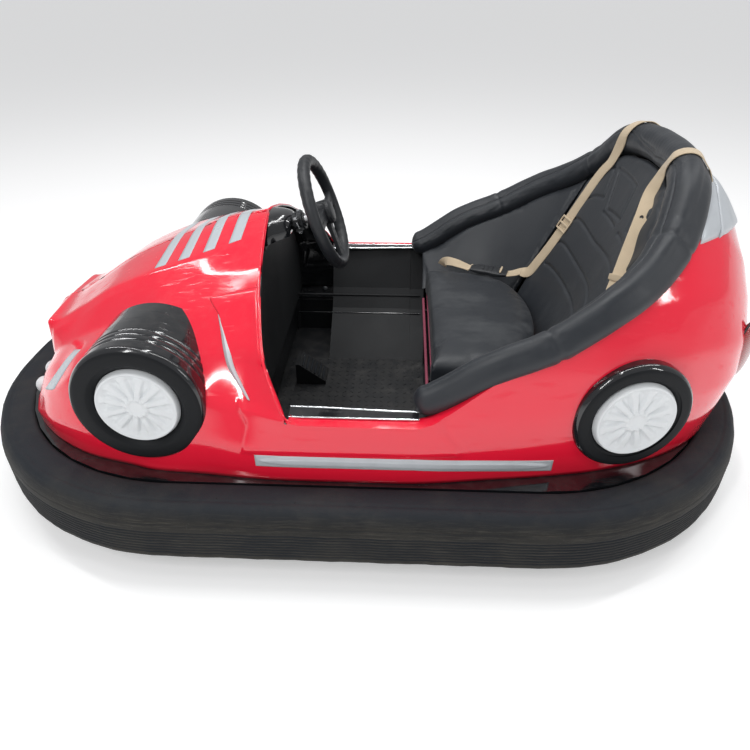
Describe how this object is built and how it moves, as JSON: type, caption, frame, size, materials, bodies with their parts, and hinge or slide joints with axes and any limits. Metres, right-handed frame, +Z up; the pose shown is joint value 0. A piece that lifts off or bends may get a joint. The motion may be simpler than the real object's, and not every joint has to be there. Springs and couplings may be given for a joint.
{
  "type": "bumper car",
  "caption": "Fairground bumper car: moulded roadster body with dummy wheels on a ring tyre, bucket bench seat, steering wheel and a steered drive wheel underneath.",
  "frame": {"origin": "on the floor under the middle of the car's bounding box", "axes": "+X towards the nose, +Y to the driver's left, +Z up"},
  "size_m": [1.95, 1.18, 0.8296],
  "materials": {
    "red_gelcoat": "polished gelcoat with fine wear",
    "gloss_black": "polished black gelcoat",
    "satin_black": "satin",
    "tyre_rubber": "dusty matt rubber",
    "white_plastic": "satin white",
    "black_vinyl": "worn black vinyl",
    "silver_trim": "silver paint",
    "bare_steel": "worn",
    "strap_webbing": "woven",
    "lamp_lens_red": "clear red",
    "battery_grey": "matt",
    "board_red": "painted"
  },
  "bodies": {
    "chassis": {"accelerator_pedal": "satin_black", "battery_block": "battery_grey", "body_shell": "red_gelcoat", "bumper_rim": "satin_black", "bumper_tyre": "tyre_rubber", "chassis_deck": "gloss_black", "cockpit_liner_left": "gloss_black", "cockpit_liner_right": "gloss_black", "cushion_board": "board_red", "dash_panel": "gloss_black", "drive_mount": "satin_black", "dummy_tyre_front_left": "gloss_black", "dummy_tyre_front_right": "gloss_black", "dummy_tyre_rear_left": "gloss_black", "dummy_tyre_rear_right": "gloss_black", "floor_pan": "satin_black", "floor_plate": "bare_steel", "harness_buckle": "satin_black", "harness_strap_left": "strap_webbing", "harness_strap_right": "strap_webbing", "nose_lamp_left_1": "white_plastic", "nose_lamp_left_2": "white_plastic", "nose_lamp_right_1": "white_plastic", "nose_lamp_right_2": "white_plastic", "rear_bracket_left": "satin_black", "rear_bracket_right": "satin_black", "seat_back": "black_vinyl", "seat_base": "satin_black", "seat_bolster": "black_vinyl", "seat_cushion": "black_vinyl", "seat_side_left": "black_vinyl", "seat_side_right": "black_vinyl", "sill_trim_left": "satin_black", "sill_trim_right": "satin_black", "steering_column": "satin_black", "tail_fairing": "silver_trim", "tail_lamp_left": "lamp_lens_red", "tail_lamp_right": "lamp_lens_red", "wheel_disc_front_left": "white_plastic", "wheel_disc_front_right": "white_plastic", "wheel_disc_rear_left": "white_plastic", "wheel_disc_rear_right": "white_plastic"},
    "steering": {"steering_wheel": "satin_black", "steering_shaft": "bare_steel"},
    "drive_unit": {"drive_fork": "satin_black", "drive_motor": "satin_black"},
    "drive_wheel": {"drive_wheel": "tyre_rubber"},
    "rear_wheel_left": {"rear_wheel_left": "tyre_rubber"},
    "rear_wheel_right": {"rear_wheel_right": "tyre_rubber"}
  },
  "joints": [
    {"name": "drive_yaw", "type": "hinge", "parent": "chassis", "child": "drive_unit", "pos_m": [0.5, 0, 0.24], "axis": [0, 0, 1], "continuous": true},
    {"name": "steering_turn", "type": "hinge", "parent": "chassis", "child": "steering", "pos_m": [0.092, 0, 0.645], "axis": [0.9449, 0, -0.3272], "continuous": true},
    {"name": "drive_wheel_spin", "type": "hinge", "parent": "drive_unit", "child": "drive_wheel", "pos_m": [0.5, 0, 0.1], "axis": [0, 1, 0], "continuous": true},
    {"name": "rear_wheel_left_spin", "type": "hinge", "parent": "chassis", "child": "rear_wheel_left", "pos_m": [-0.695, 0.24, 0.075], "axis": [0, 1, 0], "continuous": true},
    {"name": "rear_wheel_right_spin", "type": "hinge", "parent": "chassis", "child": "rear_wheel_right", "pos_m": [-0.695, -0.24, 0.075], "axis": [0, 1, 0], "continuous": true}
  ],
  "couplings": [
    {"joint": "steering_turn", "follows": "drive_yaw", "ratio": -1}
  ]
}
